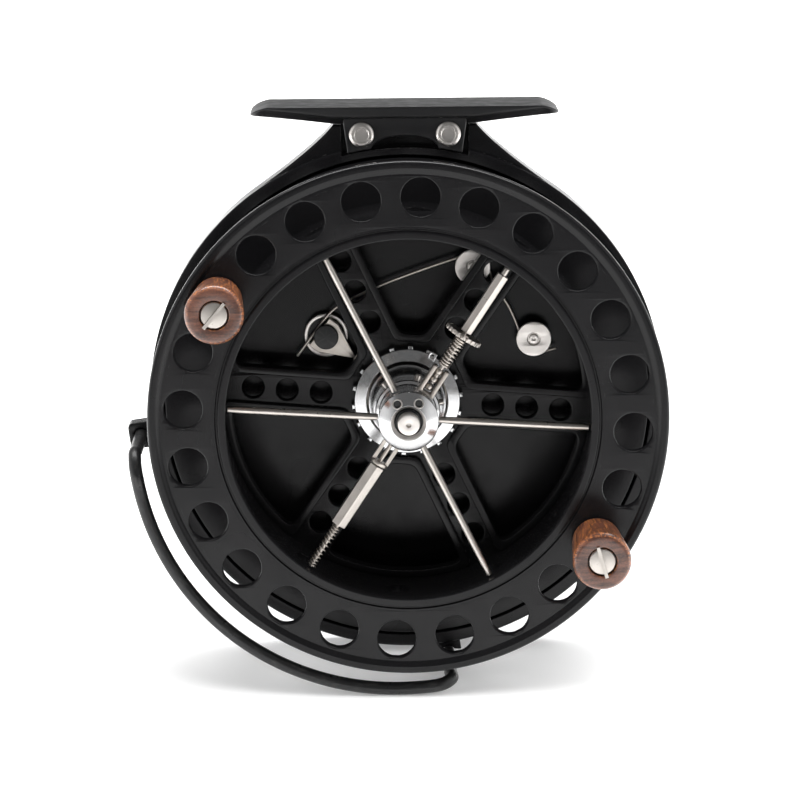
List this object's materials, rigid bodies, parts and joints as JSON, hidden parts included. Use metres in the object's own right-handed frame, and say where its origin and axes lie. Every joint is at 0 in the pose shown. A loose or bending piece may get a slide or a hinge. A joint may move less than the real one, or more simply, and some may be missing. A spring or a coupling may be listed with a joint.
{
  "type": "centrepin fishing reel",
  "caption": "Centrepin trotting reel: open spoked drum on a fixed spindle in front of a round backplate, wooden handles, wire line guard, ratchet check, release latch and rod foot.",
  "frame": {"origin": "middle of the foot's seat, the flat face that lies against the rod", "axes": "+Z out of the foot's seat, towards the rod; +Y along the spindle from the drum's front to the backplate; +X along the rod"},
  "size_m": [0.1213, 0.0628, 0.1295],
  "materials": {
    "anodised": "black anodised, satin gloss",
    "foot_black": "black enamel, satin",
    "nickel": "pale nickel, satin",
    "chrome": "polished",
    "steel": "turned steel",
    "black_steel": "blacked steel",
    "brass": "turned brass",
    "rosewood": "lacquered rosewood"
  },
  "bodies": {
    "frame": {"backplate": "anodised", "reel_foot": "foot_black", "foot_screw_left": "nickel", "foot_screw_right": "nickel", "spindle": "steel", "spindle_washer": "nickel", "spindle_nut": "nickel", "bearing_front_inner": "chrome", "bearing_rear_inner": "chrome", "line_guard": "black_steel", "guard_lug_left": "anodised", "guard_lug_lower": "anodised", "guard_screw_left": "black_steel", "guard_screw_lower": "black_steel", "check_spring": "steel", "spring_anchor_post": "steel", "spring_guide_post": "steel"},
    "check_selector": {"check_slider": "steel", "check_button": "anodised", "pawl_pivot": "black_steel"},
    "pawl": {"check_pawl": "steel"},
    "drum": {"front_flange": "anodised", "arbor": "anodised", "rear_flange": "anodised", "hub_barrel": "chrome", "hub_lock_ring": "chrome", "hub_cap": "chrome", "cap_screw": "nickel", "spoke_1": "nickel", "spoke_2": "nickel", "spoke_3": "nickel", "spoke_4": "nickel", "regulator_rod": "nickel", "release_rod": "steel", "release_spring": "steel", "regulator_spring": "steel", "ratchet_wheel": "steel", "bearing_front_outer": "chrome", "bearing_rear_outer": "chrome", "bearing_front_balls": "steel", "bearing_rear_balls": "steel", "handle_post_upper": "nickel", "handle_post_lower": "nickel"},
    "handle_upper": {"handle_grip_upper": "rosewood", "handle_bush_upper": "brass"},
    "handle_lower": {"handle_grip_lower": "rosewood", "handle_bush_lower": "brass"},
    "release_latch": {"release_fork": "nickel", "release_sleeve": "nickel"},
    "regulator": {"regulator_wheel": "nickel"},
    "brake": {"brake_fork": "nickel"}
  },
  "joints": [
    {"name": "drum_spin", "type": "hinge", "parent": "frame", "child": "drum", "pos_m": [0, -0.0198, -0.0662], "axis": [0, 1, 0], "continuous": true},
    {"name": "handle_upper_spin", "type": "hinge", "parent": "drum", "child": "handle_upper", "pos_m": [-0.04111, -0.0438, -0.03899], "axis": [0, 1, 0], "continuous": true},
    {"name": "handle_lower_spin", "type": "hinge", "parent": "drum", "child": "handle_lower", "pos_m": [0.04111, -0.0438, -0.09341], "axis": [0, 1, 0], "continuous": true},
    {"name": "drum_release", "type": "slide", "parent": "drum", "child": "release_latch", "axis": [-0.5519, 0, -0.8339], "range_m": [0, 0.002], "stiffness_N_per_m": 300, "springref_m": -0.002, "deforming": ["release_spring"]},
    {"name": "regulator_turn", "type": "hinge", "parent": "drum", "child": "regulator", "pos_m": [0.0122, -0.0308, -0.04777], "axis": [0.5519, 0, 0.8339], "range_deg": [0, 720]},
    {"name": "brake_press", "type": "slide", "parent": "drum", "child": "brake", "axis": [-0.5519, 0, -0.8339], "range_m": [0, 0.00025], "deforming": ["regulator_spring"]},
    {"name": "check_slide", "type": "slide", "parent": "frame", "child": "check_selector", "axis": [0.8003, 0, -0.5996], "range_m": [0, 0.0012], "deforming": ["check_spring"]},
    {"name": "pawl_swing", "type": "hinge", "parent": "check_selector", "child": "pawl", "pos_m": [-0.01815, -0.0035, -0.0526], "axis": [0, 1, 0], "range_deg": [-4, 4], "stiffness_Nm_per_rad": 0.002}
  ],
  "couplings": [
    {"joint": "regulator_turn", "follows": "brake_press", "rad_per_m": 50265}
  ]
}
